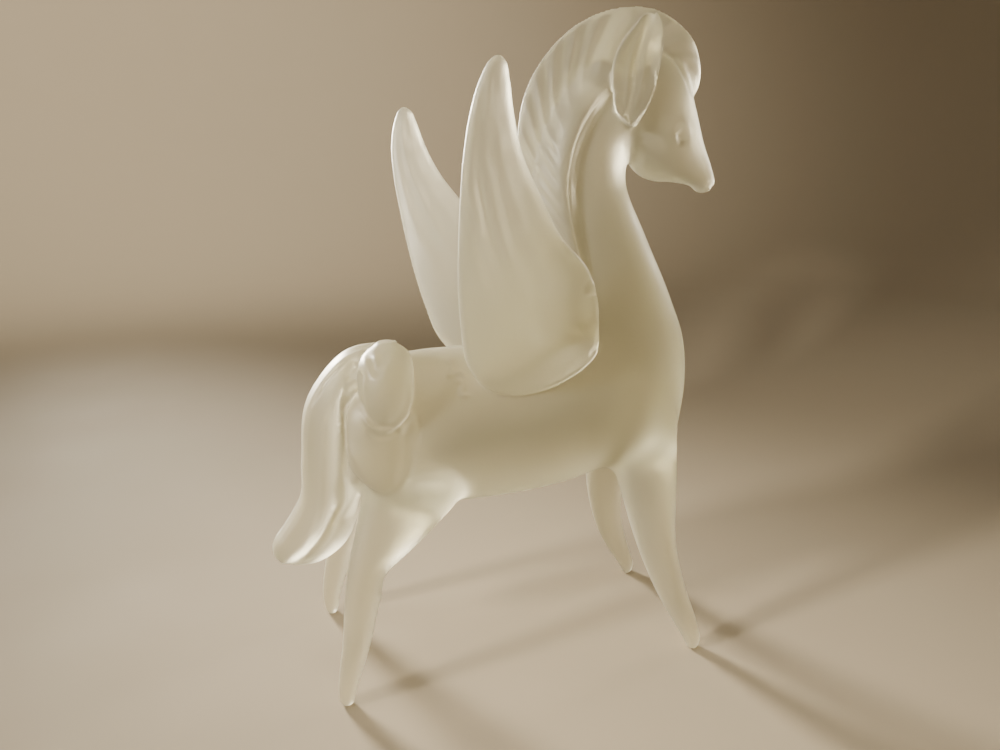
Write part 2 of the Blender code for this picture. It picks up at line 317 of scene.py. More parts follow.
print("barrel, mm across:", round(np.ptp(body[..., 1]), 1), " head:", round(np.ptp(head[..., 1]), 1))

# %% [markdown]
# ## Legs
#
# Each leg was pulled down out of the barrel with pincers, and thins all the way to a foot
# some five millimetres thick. Extruding and scaling a ring by hand would do, but four legs
# made from two lists of sections stay alike. The left feet stand a little further back,
# and the left shanks are bowed like a bent straw, so that side has a formula of its own.

# %% Hind legs and fore legs
HIND_LEG = [
    (-46.0, 84, -17.0, 78, 11.0, 10.0),
    (-46.5, 70, -17.5, 61.5, 14.2, 9.4),
    (-48.6, 59, -26.5, 52.6, 17.0, 7.6),
    (-51.0, 50.5, -36.0, 45.0, 19.0, 6.2),
    (-52.6, 45, -41.6, 40.6, 20.1, 5.5),
    (-54.2, 36, -43.7, 33.5, 21.3, 5.0),
    (-56.0, 20, -48.0, 18, 23.4, 4.0),
    (-58.0, 7, -52.2, 6, 24.7, 3.1),
    (-58.2, 2.8, -53.2, 2.4, 25.0, 2.6),
]
FORE_LEG = [
    (34.0, 89, 49.5, 89, 8.5, 9.0),
    (33.4, 80, 53.2, 81, 10.3, 9.6),
    (31.6, 71, 53.3, 72, 11.9, 9.8),
    (35.2, 52, 52.4, 54, 16.6, 7.1),
    (39.0, 38, 51.8, 40.5, 19.5, 5.6),
    (46.0, 20.5, 54.9, 24, 22.3, 4.2),
    (53.4, 6.8, 59.8, 9.2, 24.3, 3.1),
    (55.8, 2.6, 61.2, 3.6, 24.9, 2.7),
]
LEG_TOP = 72.0
LEFT_FOOT_SHIFT, LEFT_SHANK_BOW = -2.2, -2.0
FOOT_PAD_RADIUS = 1.8


def leg_rows(rows, side):
    """Left leg: x + shift * depth + bow * sin(pi * depth^2), depth = 0 at the leg's top."""
    rows = on_side(rows, side)
    if side == LEFT:
        for x, z in ((0, 1), (2, 3)):
            below = np.clip(1 - rows[:, z] / LEG_TOP, 0, 1)
            rows[:, x] += LEFT_FOOT_SHIFT * below + LEFT_SHANK_BOW * np.sin(pi * below**2)
    return rows


legs = [
    loft(leg_rows(rows, side), rings=80, turn=round_turns(48), foot_pad=FOOT_PAD_RADIUS)
    for side in (RIGHT, LEFT)
    for rows in (HIND_LEG, FORE_LEG)
]
print("feet, x in squares:", [round(float(leg[-1, :, 0].mean()), 1) for leg in legs])

# %% [markdown]
# ## The gather
#
# Neck and legs were drawn out of the body while the glass was still runny, so the thighs
# leave the barrel in wide, soft hollows. The head was set on when the neck had grown
# stiff. Melting everything in one go would leave all creases alike, so these forms are
# melted first, with a long flow that is weak above the throat.

# %% Body, head and legs melted
THROAT_HEIGHT = 140
gather = remeshed("gather", *closed_shells([body, head, *legs]), voxel=0.9)
fill_creases(gather, rounds=60, stiff_above=THROAT_HEIGHT)
print("gather:", len(gather.vertices), "points")

# %% [markdown]
# ## Wings
#
# Each wing is a gob pressed flat against the shoulder and drawn up to a tip, with soft
# waves from a fluted tool. It was laid on when the body was stiff, so its edge stays
# crisp. A sculpted plane with Solidify would have an edge of one thickness, where a loft
# can taper its half thickness up the wing. The left wing is the same plate, but swept
# back and a tenth lower.

# %% Both wings
WING = [
    (-5.0, 92.2, 2.0, 92.1, 17.0, 0.5),
    (-12.5, 96.6, 13.0, 96.0, 18.0, 1.2),
    (-17.0, 104.5, 22.4, 103.8, 19.6, 1.5),
    (-18.4, 113, 22.2, 111.5, 21.5, 1.25),
    (-19.5, 123, 20.8, 120.5, 23.8, 1.05),
    (-19.9, 131, 16.4, 130, 25.8, 1.0),
    (-20.0, 139, 8.3, 138.5, 28.0, 0.9),
    (-19.9, 150, 1.2, 150, 30.7, 0.82),
    (-19.4, 160, -4.4, 160.5, 33.0, 0.74),
    (-18.0, 170, -7.3, 170.5, 35.0, 0.68),
    (-15.6, 177.7, -8.6, 178, 35.8, 0.62),
    (-13.4, 181.6, -9.7, 181.6, 36.3, 0.45),
    (-12.2, 182.6, -10.8, 182.6, 36.4, 0.25),
]
WING_HALF_THICKNESS = 3.6
WING_FLUTES, WING_FLUTE_DEPTH, WING_FLUTE_LEAN = 4, 0.09, 0.7
WING_FOOT, WING_TIP = 90.5, 182.6
LEFT_WING_SWEEP, LEFT_WING_DROP = 13.0, 0.10


def swept(x, z):
    """From the right wing's profile to the left wing's: x moves back with the height above
    the wing's foot, and that height shrinks by a tenth."""
    up = z - WING_FOOT
    back = LEFT_WING_SWEEP * up / (WING_TIP - WING_FOOT)
    return x - back, WING_FOOT + up * (1 - LEFT_WING_DROP)


def wing_rows(side):
    """The sections of one wing: half width = share * half thickness."""
    rows = on_side(WING, side, WING_HALF_THICKNESS)
    if side == LEFT:
        for x, z in ((0, 1), (2, 3)):
            rows[:, x], rows[:, z] = swept(rows[:, x], rows[:, z])
    return rows


def wing_flutes(along, turn):
    """Factor = (1 + depth * fade * wave) * fullness, wave = cos(2 pi (flutes * share + lean
    * along)). The waves fade towards the wing's foot and towards its front edge."""
    forward = (1 + np.cos(turn)) / 2
    wave = np.cos(2 * pi * (WING_FLUTES * forward + WING_FLUTE_LEAN * along))
    fade = np.clip((along - 0.2) / 0.3, 0, 1) * np.clip(1.2 - 1.3 * forward, 0, 1)
    return (1 + WING_FLUTE_DEPTH * fade * wave) * full_edges(turn), 0 * along * turn


wings = {
    side: loft(wing_rows(side), rings=140, turn=plate_turns(70), relief=wing_flutes)
    for side in (RIGHT, LEFT)
}
print("wing tips, squares high:", [round(float(wing[..., 2].max()), 1) for wing in wings.values()])

# %% [markdown]
# ## Mane
#
# The mane is a ribbon of glass along the arched neck, which runs on over the head as
# a forelock. A thick roll lies along its foot on either side. The ribbon could be a curve
# with a bevel, but it is wide in the middle, narrow at both ends and thinner at its edge.
# The loft has all of that in its sections, with one outline at the root and one at the
# edge. Its flutes are pressed in later, with the other strokes.

# %% The ribbon of the mane, and the roll on either side
MANE = [
    (25.0, 115.5, 20.5, 121, 0, 0.4),
    (24.5, 130, 9.0, 142.5, 0, 1.0),
    (23.5, 142.5, 3.3, 164, 0, 1.0),
    (23.5, 152.5, 6.5, 179, 0, 1.0),
    (25.5, 162, 18.5, 193.5, 0, 1.0),
    (33.0, 169, 33.5, 199.6, 0, 1.0),
    (42.0, 174, 47.5, 198.4, 0, 0.9),
    (48.0, 176, 57.5, 190.5, 0, 0.8),
    (51.5, 171.8, 59.5, 178.8, 0, 0.55),
    (54.2, 170.4, 57.3, 174.8, 0, 0.3),
]
MANE_FOLD = [
    (16.0, 113, 26.0, 115.5, 9.0, 6.0),
    (12.0, 124, 23.0, 125.5, 6.5, 9.0),
    (8.0, 142, 18.8, 142.3, 4.4, 8.8),
    (8.3, 157.5, 18.4, 154.7, 3.6, 8.2),
    (15.6, 176, 23.6, 168.2, 3.2, 7.4),
    (26.2, 185.4, 31.6, 176, 2.8, 5.8),
    (33.0, 183.5, 37.0, 174.5, 2.8, 5.6),
]
MANE_HALF_THICKNESS = 4.0
ROOT_FACTOR, EDGE_THINNING = 1.4, 0.65


def mane_blade(along, turn):
    """A blade that thins from its root to its edge: factor = 1.4 - 0.65 * share."""
    out = (1 + np.cos(turn)) / 2
    return ROOT_FACTOR - EDGE_THINNING * out + 0 * along, 0 * along * turn


def fold_skew(along, turn):
    """A roll that drops more steeply on one side: factor = 0.45 + 0.8 * share."""
    return 0.45 + 0.4 * (1 + np.cos(turn)) + 0 * along, 0 * along * turn


mane_sections = on_side(MANE, RIGHT, MANE_HALF_THICKNESS)
mane = loft(mane_sections, rings=160, turn=plate_turns(40), relief=mane_blade)
folds = {
    side: loft(on_side(MANE_FOLD, side), rings=80, turn=round_turns(48), relief=fold_skew)
    for side in (RIGHT, LEFT)
}
print("mane, squares high:", round(mane[..., 2].min(), 1), "to", round(mane[..., 2].max(), 1))

# %% [markdown]
# ## Ears
#
# An ear is a flat drop of glass stuck to the side of the mane, cupped by the tool that
# pressed it, with two ribs lengthwise. A sculpting brush would cup it, but a formula keeps
# both ears alike: the push across is largest in the middle of the ear, and zero at its
# front and back edges. Higher up, the back edge dips towards the mane.

# %% Both ears
EAR = [
    (33.4, 167.6, 34.9, 166.6, 8.4, 0.6),
    (29.0, 171.4, 37.6, 170.6, 7.8, 0.85),
    (28.0, 176.5, 40.2, 176.2, 7.4, 0.95),
    (28.0, 183.5, 41.8, 183.5, 7.4, 1.0),
    (30.0, 188.5, 42.2, 188.5, 7.7, 0.95),
    (33.6, 193.3, 41.9, 193.3, 8.4, 0.85),
    (36.2, 196.3, 40.6, 196.1, 9.3, 0.6),
    (37.9, 197.4, 39.3, 197.3, 9.8, 0.35),
]
EAR_HALF_THICKNESS = 1.9
EAR_CUP, EAR_SINK, EAR_TILT = 2.4, 0.8, 2.6
EAR_RIB, RIB_PLACES, RIB_WIDTH = 0.55, (0.36, 0.66), 0.05


def ear_rows(side):
    """The sections of one ear: middle = mane's face - sink + cup + half thickness."""
    rows = on_side(EAR, LEFT, EAR_HALF_THICKNESS)
    rows[:, 4] = side * (rows[:, 4] - EAR_SINK + EAR_CUP + rows[:, 5])
    return rows


def ear_cup(side):
    """Push = - cup * sin^2 + the ribs' bells - dip, towards the ear's own side."""

    def relief(along, turn):
        forward = (1 + np.cos(turn)) / 2
        ribs = sum(np.exp(-(((forward - place) / RIB_WIDTH) ** 2)) for place in RIB_PLACES)
        push = -EAR_CUP * np.sin(turn) ** 2 + EAR_RIB * ribs * np.sin(pi * along) ** 0.5
        dip = EAR_TILT * np.clip(2 * along - 0.4, 0, 1) * (1 - forward)
        return 1 + 0 * along * turn, side * (push - dip)

    return relief


ears = {
    side: loft(ear_rows(side), rings=60, turn=plate_turns(36), relief=ear_cup(side))
    for side in (RIGHT, LEFT)
}
print("ears, mm long:", round(np.ptp(ears[RIGHT][..., 2]), 1))

# %% [markdown]
# ## Tail
#
# The tail is two strands that hang down behind the rump and end together in a flick. On
# the right of the rump sits a curl, and a lobe below it runs on into the front strand.
# The left side has the lobe alone. A particle system would give hair, but this is thick
# glass folded on itself, so each strand, the curl and the lobes are lofts.

# %% Strands of the tail
TAIL_BACK_STRAND = [
    (-34.0, 107, -36.5, 97, -4.0, 5.0),
    (-49.5, 104.3, -46.5, 91, -3.0, 7.5),
    (-60.8, 91, -50.3, 84, -1.5, 8.0),
    (-64.2, 71, -51.8, 70, -0.5, 7.7),
    (-65.8, 57.5, -54.0, 54, 0.0, 7.2),
    (-71.6, 48, -57.6, 44.5, 0.0, 6.6),
    (-74.4, 44.2, -62.5, 40.2, 0.0, 6.0),
    (-75.0, 41.6, -66.6, 37.8, 0.0, 5.0),
    (-74.5, 39.5, -69.8, 36.8, 0.0, 3.6),
    (-73.6, 38.2, -71.8, 37.0, 0.0, 1.8),
]
TAIL_FRONT_STRAND = [
    (-42.0, 95, -34.0, 91, 0.0, 5.0),
    (-53.5, 84, -45.0, 81, -0.6, 7.0),
    (-56.0, 64, -47.2, 62.5, -0.8, 7.2),
    (-58.5, 52, -48.0, 51.0, -0.6, 6.8),
    (-62.5, 43, -53.2, 41.5, -0.4, 6.0),
    (-68.0, 39.5, -61.0, 36.3, 0.0, 4.6),
    (-71.0, 38.4, -68.0, 35.5, 0.0, 2.6),
]
TAIL_FLUTES, TAIL_FLUTE_DEPTH = 2, 0.05


def tail_flutes(along, turn):
    """Factor = (1 + depth * fade * wave) * fullness, wave = cos(2 pi * flutes * share).
    Each flute runs lengthwise and fades out on the rump."""
    forward = (1 + np.cos(turn)) / 2
    wave = np.cos(2 * pi * TAIL_FLUTES * forward)
    fade = np.clip(along / 0.2, 0, 1)
    return (1 + TAIL_FLUTE_DEPTH * fade * wave) * full_edges(turn), 0 * along * turn


strands = [
    loft(TAIL_BACK_STRAND, rings=90, turn=plate_turns(24), relief=tail_flutes),
    loft(TAIL_FRONT_STRAND, rings=80, turn=round_turns(48)),
]
print("tail, mm high:", [round(float(np.ptp(strand[..., 2])), 1) for strand in strands])

# %% The curl and the lobes on the rump
TAIL_CURL = [
    (-40.5, 108.6, -36.0, 108.8, 11.0, 2.5),
    (-45.3, 104.5, -31.8, 105.5, 12.5, 7.5),
    (-46.8, 96.5, -31.2, 96.5, 14.0, 9.3),
    (-45.5, 89, -33.5, 88.5, 15.0, 7.6),
    (-40.8, 83.8, -38.0, 83.8, 15.5, 2.0),
]
TAIL_LOBE = [
    (-41.0, 98, -38.0, 97.5, 9.0, 1.5),
    (-49.0, 92, -33.0, 91, 12.6, 6.0),
    (-51.0, 81, -31.0, 81, 15.0, 7.6),
    (-50.0, 73, -33.0, 72, 17.2, 6.6),
    (-45.5, 68.0, -36.5, 67.0, 18.4, 4.6),
    (-42.5, 66.0, -40.0, 65.6, 18.8, 2.0),
]
LOBE_TO_STRAND = [
    (-48.6, 88, -42.0, 88, 11.5, 6.2),
    (-50.4, 80, -42.5, 79, 12.6, 7.2),
    (-50.6, 72, -44.4, 70.5, 10.0, 7.6),
    (-52.4, 62, -47.0, 60.5, 5.0, 7.6),
    (-56.0, 54, -48.6, 53.0, 1.5, 6.4),
    (-58.5, 49, -50.5, 48.5, 0.0, 5.0),
]
curl = loft(on_side(TAIL_CURL, RIGHT), rings=50, turn=round_turns(56))
lobe_bridge = loft(on_side(LOBE_TO_STRAND, RIGHT), rings=60, turn=round_turns(40))
lobes = {
    side: loft(on_side(TAIL_LOBE, side), rings=50, turn=round_turns(48))
    for side in (RIGHT, LEFT)
}
print("curl, mm high:", round(np.ptp(curl[..., 2]), 1), " lobe:", round(np.ptp(lobes[RIGHT][..., 2]), 1))

# %% [markdown]
# ## One piece of glass
#
# Wings, mane, ears and tail were laid on last, when the body was already stiff, so the
# glass had little time to flow. They are wrapped together with the finished gather on
# a finer grid of voxels, and a short flow leaves their creases narrow. Kept as separate
# pieces, they would show their seams inside the see-through glass.

# %% Everything melted into one piece
laid_on = [mane, *strands, curl, lobe_bridge]
for side in (RIGHT, LEFT):
    laid_on += [wings[side], ears[side], folds[side], lobes[side]]
gather_points, _, _ = arrays(gather)
gather_faces = [list(face.vertices) for face in gather.polygons]
more_points, more_faces = closed_shells(laid_on, first=len(gather_points))
all_points = np.concatenate([gather_points, more_points])
glass = remeshed("pegasus_glass", all_points, gather_faces + more_faces, voxel=0.5)
fill_creases(glass, rounds=5)
soften(glass, rounds=6)
print("laid-on forms:", len(laid_on), " glass:", len(glass.vertices), "points")

# %% [markdown]
# ## Strokes of the tool
#
# Fine grooves and ridges were pressed into the soft skin with the edge of a tool. A bump
# map could paint them, but a groove in glass bends the light that comes through, so
# these are real. A stroke is a path in the profile, and a point at the distance d from it
# moves along its normal by height * exp(-(d / width)^2). The stroke runs out at both ends.
# Only the faces turned to the stroke's own side move, and only between two distances from
# the middle plane, so that a stroke on a wing leaves the neck behind it be.

# %% One stroke, and the list of all strokes
REACH_IN_WIDTHS = 3
STEPS_PER_CORNER = 6
strokes = []


def stroke(points, normals, side, nearest, farthest, width, height, path):
    """How far each point moves along its normal. All distances are in the profile."""
    curve = smoothed(path, STEPS_PER_CORNER * len(path))
    low = curve.min(axis=0) - REACH_IN_WIDTHS * width
    high = curve.max(axis=0) + REACH_IN_WIDTHS * width
    profile, y = points[:, [0, 2]], points[:, 1]
    facing = np.clip(2.5 * np.abs(normals[:, 1]), 0, 1) * (normals[:, 1] * y > 0)
    if side != BOTH:
        facing = facing * (y * side > 0)
    edge = np.clip(np.abs(y) - nearest, 0, 1) * np.clip(farthest - np.abs(y), 0, 1)
    near = np.flatnonzero(((profile > low) & (profile < high)).all(axis=1) & (facing * edge > 0))
    start, chord = curve[:-1], np.diff(curve, axis=0)
    offset = profile[near, None] - start
    share = np.clip((offset * chord).sum(axis=2) / (chord**2).sum(axis=1), 0, 1)
    distance = np.linalg.norm(offset - share[..., None] * chord, axis=2)
    nearest_chord = distance.argmin(axis=1)
    rows = np.arange(len(near))
    at = (nearest_chord + share[rows, nearest_chord]) / len(chord)
    ends = np.clip(5 * np.minimum(at, 1 - at) + 0.15, 0, 1)
    moved = np.zeros(len(points))
    moved[near] = height * ends * np.exp(-((distance[rows, nearest_chord] / width) ** 2))
    return moved * facing * edge


def draw(side, nearest, farthest, lines):
    """Lists strokes, each a width, a height and a path, between two distances |y|."""
    for width, height, path in lines:
        strokes.append((side, nearest, farthest, width, height, path))


print("height left at one and two widths:", np.exp(-np.array([1.0, 2.0]) ** 2).round(2))

# %% [markdown]
# ## Strokes on the neck and the head
#
# A deep groove with a raised lip follows the roll along the neck, and two faint lines run
# behind the cheek. The eye is a dent under a lid, the mouth a nick, and a crease parts the
# forelock from the brow. All of them are pressed on both sides alike, because pressing
# moves the skin that is there, where carving them by hand would have to be done twice.

# %% The roll, the cheek, the eye, the mouth and the forelock
ROLL_GROOVE = [
    (29, 178), (22.5, 170.8), (18.5, 163.4), (16.5, 155.3), (15.8, 149.7),
    (16.7, 142.8), (18.2, 135.8), (19.8, 128.7), (20.4, 120),
]
ROLL_LIP = [
    (30.6, 177), (24.2, 169.8), (20.2, 162.8), (18.2, 155), (17.5, 149.7),
    (18.3, 143), (19.8, 136.2), (21.4, 129.2), (22, 121),
]
CHEEK_LINE = [(25.7, 166.5), (26.4, 161), (27.2, 157), (28.6, 152.5)]
CHEEK_HOLLOW = [(33, 163.5), (34.2, 158), (35.6, 153.5)]
EYE = [(49.6, 166), (50.6, 164), (51.6, 162)]
EYELID = [(46.4, 166.2), (48.6, 168.6), (51.6, 167.8), (53.6, 164.6)]
MOUTH = [(67.2, 148.6), (64.6, 149.8), (62.4, 151.2)]
FORELOCK_CREASE = [(41.5, 190), (47.7, 187), (51.4, 181.4), (54.8, 175.5)]
draw(BOTH, 4, 16, [(0.55, -1.0, ROLL_GROOVE), (0.5, 0.35, ROLL_LIP)])
draw(BOTH, 4, 14, [(0.55, -0.2, CHEEK_LINE), (1.6, -0.35, CHEEK_HOLLOW)])
draw(BOTH, 4, 14, [(1.4, -1.2, EYE), (0.9, 0.4, EYELID)])
draw(BOTH, 0, 6, [(0.6, -0.6, MOUTH)])
draw(BOTH, 2, 12, [(0.8, -0.7, FORELOCK_CREASE)])
print("strokes on the neck and the head:", len(strokes))

# %% [markdown]
# ## Strokes on the tail and the rump
#
# A groove parts the two strands over their whole length, and finer ones edge the lobes.
# The curl is a ribbon folded over itself. Modelled as a ribbon it would be a sheet too
# thin for the voxels, so a notch at its top, a rim round its foot and a hollow below the
# rim stand for the fold. Two short raised marks lie on the croup. The curl and these
# marks are on the right alone.

# %% The strands and the lobes, on both sides
STRANDS_PARTING = [
    (-46.8, 101.9), (-49.6, 98.1), (-51.4, 92.5), (-52.2, 82), (-53.2, 68),
    (-53.4, 58.6), (-56.5, 52), (-61, 44.6), (-64.5, 41.4),
]
PARTING_TOP = [(-46.2, 102.6), (-47.6, 100.8), (-49.8, 97.5)]
TOP_GROOVE = [(-36, 108), (-42.7, 106.6), (-47.7, 104.6), (-52, 101.2), (-56, 97), (-59.6, 90.5)]
LOBE_RIDGE = [(-50.2, 93.5), (-50.9, 87), (-50.2, 81), (-48.4, 75)]
LOBE_FRONT_GROOVE = [(-31.2, 89), (-30.8, 84.5), (-31.8, 80)]
LOBE_MIDDLE_GROOVE = [(-33, 81), (-33.6, 74.5), (-36, 69)]
for side in (RIGHT, LEFT):
    draw(side, 2, 24, [(1.2, -1.3, STRANDS_PARTING), (1.7, -1.2, PARTING_TOP)])
    draw(side, 0, 24, [(0.6, -0.6, TOP_GROOVE)])
    draw(side, 4, 30, [(1.0, 0.6, LOBE_RIDGE), (0.5, -0.5, LOBE_FRONT_GROOVE)])
    draw(side, 4, 30, [(0.6, -0.4, LOBE_MIDDLE_GROOVE)])
print("strokes with those on the tail:", len(strokes))

# %% The croup and the curl, on the right
CROUP_LONG = [(-21.4, 101.2), (-18.8, 100), (-20.4, 97.8), (-16.8, 98.2), (-14.8, 96)]
CROUP_SHORT = [(-19.2, 96.4), (-17, 96), (-17.8, 93.2), (-15.4, 92.8)]
CURL_NOTCH = [(-44.6, 106.4), (-43.2, 105.0), (-42.2, 102.8), (-40.8, 105.0), (-38.4, 107.2)]
CURL_BACK = [(-46.2, 101.8), (-46.5, 98), (-46.3, 93.5), (-45.2, 89.5)]
CURL_RIM = [
    (-46.2, 92), (-45, 88.2), (-42.5, 86), (-39.3, 86), (-36.3, 88.5), (-33.6, 92.5),
    (-32.2, 98.5),
]
BELOW_RIM = [(-45.4, 86.6), (-42.6, 84.3), (-39, 84.3), (-36.6, 85.8)]
CURL_LIP = [(-37, 84.8), (-34.6, 87), (-32.6, 90.4)]
draw(RIGHT, 5, 26, [(0.5, 0.9, CROUP_LONG), (0.5, 0.8, CROUP_SHORT)])
draw(RIGHT, 4, 30, [(1.1, -0.9, CURL_NOTCH), (0.6, -0.7, CURL_BACK), (0.8, 0.9, CURL_RIM)])
draw(RIGHT, 4, 30, [(0.8, -0.5, BELOW_RIM), (1.6, 1.1, CURL_LIP)])
print("strokes with those on the croup and the curl:", len(strokes))

# %% [markdown]
# ## Strokes on the wings
#
# The wing's lower edge has a thick lip, its front corner was folded over once, and long
# shallow lines run from its middle up towards the tip. The left wing could have its own
# list, but the formula that sweeps its sections carries the strokes over as well.

# %% The lip, the folded corner and the long lines
WING_LIP = [(-14, 98), (-7, 94.2), (0, 93.1), (6, 94), (12, 96.4), (18, 100.4), (21.6, 104)]
WING_LINES = [
    (0.8, 0.55, WING_LIP),
    (1.8, 0.35, [(8, 112.2), (12, 111.4), (16, 110.6), (22, 109.8)]),
    (3.2, -1.1, [(18.8, 123), (19.2, 118), (19.2, 113.5)]),
    (1.4, -0.4, [(14.6, 123), (16.2, 125.6), (18, 127.8)]),
    (1.2, 0.25, [(16.2, 122.6), (17.8, 124.8), (19.4, 126.2)]),
    (1.2, -0.4, [(19.6, 103.6), (21, 105.4), (23, 106.4)]),
    (1.5, -0.5, [(-19.6, 150), (-16.6, 140.6), (-13.2, 132), (-10.6, 124.5)]),
    (1.3, -0.4, [(-16.8, 156), (-14, 147), (-11.2, 138.6), (-8, 130)]),
    (1.1, -0.35, [(-15.4, 178), (-15.6, 170.4), (-14.4, 163.5), (-12.4, 156)]),
    (0.9, -0.3, [(-12.9, 180), (-12, 172.7), (-10.8, 166)]),
]
SWEPT_LINES = [
    (width, height, [swept(x, z) for x, z in path])
    for width, height, path in WING_LINES
]
draw(RIGHT, 15, 45, WING_LINES)
draw(LEFT, 15, 45, SWEPT_LINES)
print("strokes with those on the wings:", len(strokes))

# %% [markdown]
# ## Flutes of the mane
#
# The mane was pressed with a fluted tool from its edge inwards: narrow ridges with dished
# flutes between them. They lean towards the neck's foot and run out before the root.
# Drawn one by one they would come out uneven, so a loop lays them out evenly along the
# edge. On the crown they grow shallower and stay closer to the middle, because the ears
# sit there.

# %% Ridges and flutes
MANE_FLUTES, FIRST_FLUTE, NECK_FLUTE, CROWN_FLUTE = 17, 3, 8, 11
MANE_FLUTE_DEPTH = 0.65
MANE_FLUTE_LEAN = 0.24
MANE_FLUTE_END = 0.55
mane_curve = smoothed(MANE, 400)


def mane_path(start):
    """From the edge at the share start, back towards the root: the lean grows with the
    distance from the edge to the power 1.2."""
    out = np.linspace(1.0, MANE_FLUTE_END, 7)
    along = np.clip(start - MANE_FLUTE_LEAN * (1 - out) ** 1.2, 0, 1)
    rows = mane_curve[np.round((len(mane_curve) - 1) * along).astype(int)]
    return rows[:, :2] + (rows[:, 2:4] - rows[:, :2]) * out[:, None]


for flute in range(FIRST_FLUTE, MANE_FLUTES):
    shallower = np.interp(flute, (FIRST_FLUTE, CROWN_FLUTE, MANE_FLUTES), (1.0, 0.9, 0.45))
    deep = shallower * MANE_FLUTE_DEPTH
    farthest = np.interp(flute, (NECK_FLUTE, CROWN_FLUTE), (16.0, 8.0))
    ridge, dish = mane_path(flute / MANE_FLUTES), mane_path((flute + 0.5) / MANE_FLUTES)
    draw(BOTH, 0, farthest, [(0.5, 0.5 * deep, ridge), (1.2, -0.7 * deep, dish)])
print("strokes with the mane's ridges and flutes:", len(strokes))

# %% [markdown]
# ## Pressing the strokes
#
# All strokes are added up before any point moves, so where two cross, neither distorts the
# other. The depths are averaged once over neighbouring points, and the normals four times,
# so that a point on a crisp edge moves the way its surroundings face. Blender's Displace
# modifier could move the points too, but it would need a texture or a vertex group.

# %% The strokes pressed into the glass
points, normals, edges = arrays(glass)
depth = sum(stroke(points, normals, *row) for row in strokes)
pressed = neighbours_mean(depth[:, None], edges)
for _ in range(4):
    normals = neighbours_mean(normals, edges)
normals /= np.linalg.norm(normals, axis=1, keepdims=True)
put_back(glass, points + pressed * normals)
soften(glass, rounds=1)
print("deepest stroke, mm:", round(depth.min(), 2), " highest:", round(depth.max(), 2))

# %% [markdown]
# ## Into the model's place
#
# The squares become metres, the origin moves, and nothing goes below the ground. An even
# grid of voxels spends as many faces on a smooth flank as on the eye, so a Decimate
# modifier thins the mesh where it is smooth, down to a size that other programs can load.

# %% The piece on its own place
MOST_TRIANGLES = 190000
points, _, _ = arrays(glass)
points[:, 2] = np.maximum(points[:, 2], 0.0)
put_back(glass, (points + PAPER_ORIGIN) * SQUARE)
pegasus = bpy.data.objects.new("pegasus_glass", glass)
bpy.context.scene.collection.objects.link(pegasus)
thin = pegasus.modifiers.new("thin out", "DECIMATE")
thin.ratio = min(1.0, MOST_TRIANGLES / (2 * len(glass.polygons)))
evaluated = pegasus.evaluated_get(bpy.context.evaluated_depsgraph_get())
thinned = bpy.data.meshes.new_from_object(evaluated)
pegasus.modifiers.clear()
pegasus.data = thinned
thinned.shade_smooth()
print("triangles:", sum(len(face.vertices) - 2 for face in thinned.polygons))

# %% [markdown]
# ## An uneven surface
#
# Neither etched glass nor paper is equally matt all over. An image of smudges could say
# where, but noise in the object's own coordinates needs no picture and no unwrapping.
# Both materials use the same effect, so it is a node group, with its own size, two
# roughnesses to range between and a height for the bump.


# %% A node group for an uneven surface
def add_sockets(group):
    """Named inputs with their defaults, and the two outputs that vary over the surface."""
    defaults = (("Size", 0.004), ("Smoothest", 0.5), ("Roughest", 0.6), ("Height", 0.1))
    for name, default in defaults:
        socket = group.interface.new_socket(name, in_out="INPUT", socket_type="NodeSocketFloat")
        socket.default_value = default
    group.interface.new_socket("Roughness", in_out="OUTPUT", socket_type="NodeSocketFloat")
    group.interface.new_socket("Normal", in_out="OUTPUT", socket_type="NodeSocketVector")


def uneven_surface():
    """Noise of scale 1 / size: it ranges the roughness, and it is the height of a bump."""
    group = bpy.data.node_groups.new("uneven surface", "ShaderNodeTree")
    add_sockets(group)
    nodes, links = group.nodes, group.links
    given, result = nodes.new("NodeGroupInput"), nodes.new("NodeGroupOutput")
    place = nodes.new("ShaderNodeTexCoord")
    per_metre = nodes.new("ShaderNodeMath")
    per_metre.operation = "DIVIDE"
    per_metre.inputs[0].default_value = 1.0
    noise = nodes.new("ShaderNodeTexNoise")
    noise.inputs["Detail"].default_value = 3.0
    spread = nodes.new("ShaderNodeMapRange")
    spread.inputs["From Min"].default_value = 0.3
    spread.inputs["From Max"].default_value = 0.7
    bump = nodes.new("ShaderNodeBump")
    bump.inputs["Distance"].default_value = 0.001
    links.new(given.outputs["Size"], per_metre.inputs[1])
    links.new(place.outputs["Object"], noise.inputs["Vector"])
    links.new(per_metre.outputs[0], noise.inputs["Scale"])
    links.new(noise.outputs["Fac"], spread.inputs["Value"])
    links.new(given.outputs["Smoothest"], spread.inputs["To Min"])
    links.new(given.outputs["Roughest"], spread.inputs["To Max"])
    links.new(noise.outputs["Fac"], bump.inputs["Height"])
    links.new(given.outputs["Height"], bump.inputs["Strength"])
    links.new(spread.outputs["Result"], result.inputs["Roughness"])
    links.new(bump.outputs["Normal"], result.inputs["Normal"])
    return group


uneven = uneven_surface()
print("nodes in the group:", len(uneven.nodes))


# %% A material that starts from the group
def uneven_material(name, colour, **values):
    """A new material whose shader gets its roughness and normal from the group."""
    material = bpy.data.materials.new(name)
    material.use_nodes = True
    tree = material.node_tree
    shader = tree.nodes["Principled BSDF"]
    shader.inputs["Base Color"].default_value = (*colour, 1)
    node = tree.nodes.new("ShaderNodeGroup")
    node.node_tree = uneven
    for socket, value in values.items():
        node.inputs[socket].default_value = value
    tree.links.new(node.outputs["Roughness"], shader.inputs["Roughness"])
    tree.links.new(node.outputs["Normal"], shader.inputs["Normal"])
    return material


wanted = [item.name for item in uneven.interface.items_tree if item.in_out == "INPUT"]
print("values that a material gives to the group:", wanted)

